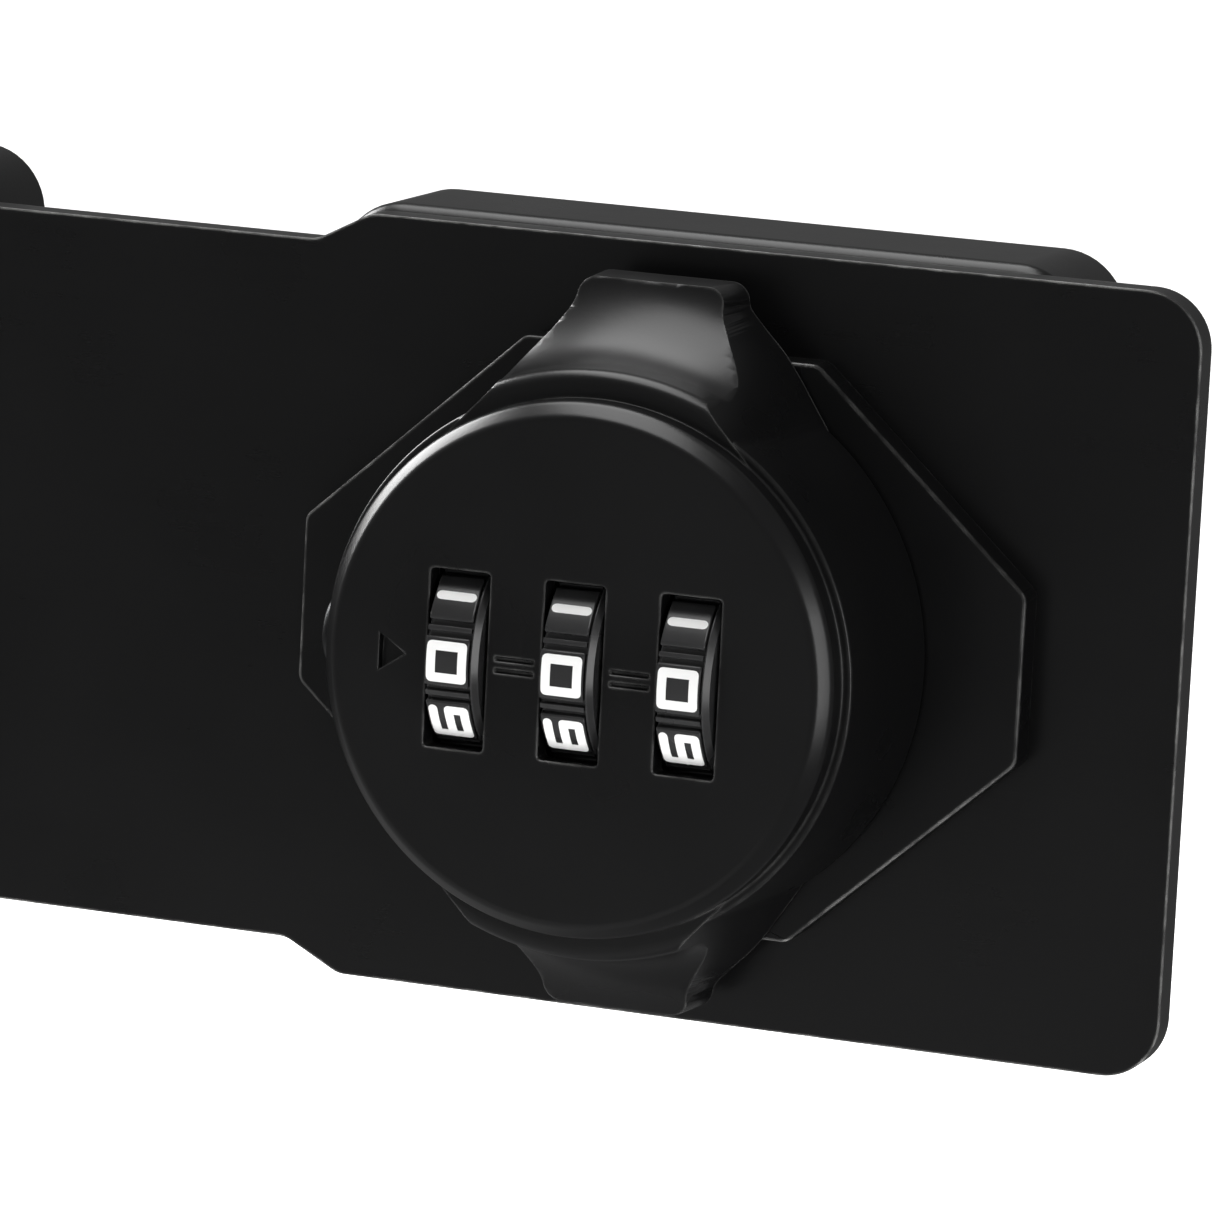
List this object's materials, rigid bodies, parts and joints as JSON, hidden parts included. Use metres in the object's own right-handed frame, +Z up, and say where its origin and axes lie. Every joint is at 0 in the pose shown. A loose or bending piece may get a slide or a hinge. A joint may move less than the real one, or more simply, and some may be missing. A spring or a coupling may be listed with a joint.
{
  "type": "combination hasp lock",
  "caption": "Hasp lock for a cabinet door: a hinged plate carries a winged knob with number wheels that turns a cam bar behind a strike.",
  "frame": {"origin": "on the spindle's axis, in the plane of the door behind the strike base, which is the centre of the strike's screw pattern", "axes": "+X along the hasp plate away from the hinge, +Y into the door, so the knob's face looks along -Y, +Z up"},
  "size_m": [0.1222, 0.0279, 0.0458],
  "materials": {
    "black_coat": "satin black coating on cast zinc and steel",
    "wheel_plastic": "black moulded wheel with white printed numerals",
    "steel": "zinc plated steel",
    "dark_steel": "blackened steel",
    "spring_steel": "spring steel",
    "brass": "turned brass"
  },
  "bodies": {
    "bases": {"hinge_base": "black_coat", "hinge_pin": "dark_steel", "strike_base": "black_coat"},
    "hasp": {"hasp_plate": "black_coat", "lock_flange": "black_coat", "flange_screws": "steel"},
    "knob": {"knob_body": "black_coat", "back_plate": "steel", "back_plate_screws": "steel", "spindle": "steel", "spindle_washer": "steel", "retaining_ring": "dark_steel", "cam_bar": "steel", "cam_washer": "steel", "cam_screw": "dark_steel", "detent_leaf": "spring_steel", "detent_rivet": "brass", "wheel_spacer": "steel", "click_spring_left": "spring_steel", "click_spring_middle": "spring_steel", "click_spring_right": "spring_steel", "locking_bar": "steel", "locking_bar_springs": "spring_steel", "reset_spring": "spring_steel"},
    "left_wheel": {"wheel_left": "wheel_plastic", "code_sleeve_left": "brass"},
    "middle_wheel": {"wheel_middle": "wheel_plastic", "code_sleeve_middle": "brass"},
    "right_wheel": {"wheel_right": "wheel_plastic", "code_sleeve_right": "brass"},
    "reset_pin": {"reset_button": "dark_steel", "wheel_axle": "steel", "axle_clip": "dark_steel"}
  },
  "joints": [
    {"name": "hasp_swing", "type": "hinge", "parent": "bases", "child": "hasp", "pos_m": [-0.088, -0.0078, 0], "axis": [0, 0, -1], "range_deg": [0, 165]},
    {"name": "knob_turn", "type": "hinge", "parent": "hasp", "child": "knob", "pos_m": [0, -0.0138, 0], "axis": [0, 1, 0], "range_deg": [0, 90], "deforming": ["detent_leaf"]},
    {"name": "left_wheel_turn", "type": "hinge", "parent": "knob", "child": "left_wheel", "pos_m": [-0.0069, -0.02175, 0], "axis": [1, 0, 0], "continuous": true, "deforming": ["click_spring_left"]},
    {"name": "middle_wheel_turn", "type": "hinge", "parent": "knob", "child": "middle_wheel", "pos_m": [0, -0.02175, 0], "axis": [1, 0, 0], "continuous": true, "deforming": ["click_spring_middle"]},
    {"name": "right_wheel_turn", "type": "hinge", "parent": "knob", "child": "right_wheel", "pos_m": [0.0069, -0.02175, 0], "axis": [1, 0, 0], "continuous": true, "deforming": ["click_spring_right"]},
    {"name": "reset_press", "type": "slide", "parent": "knob", "child": "reset_pin", "axis": [1, 0, 0], "range_m": [0, 0.0008], "stiffness_N_per_m": 400, "springref_m": -0.0005, "deforming": ["reset_spring"]}
  ]
}
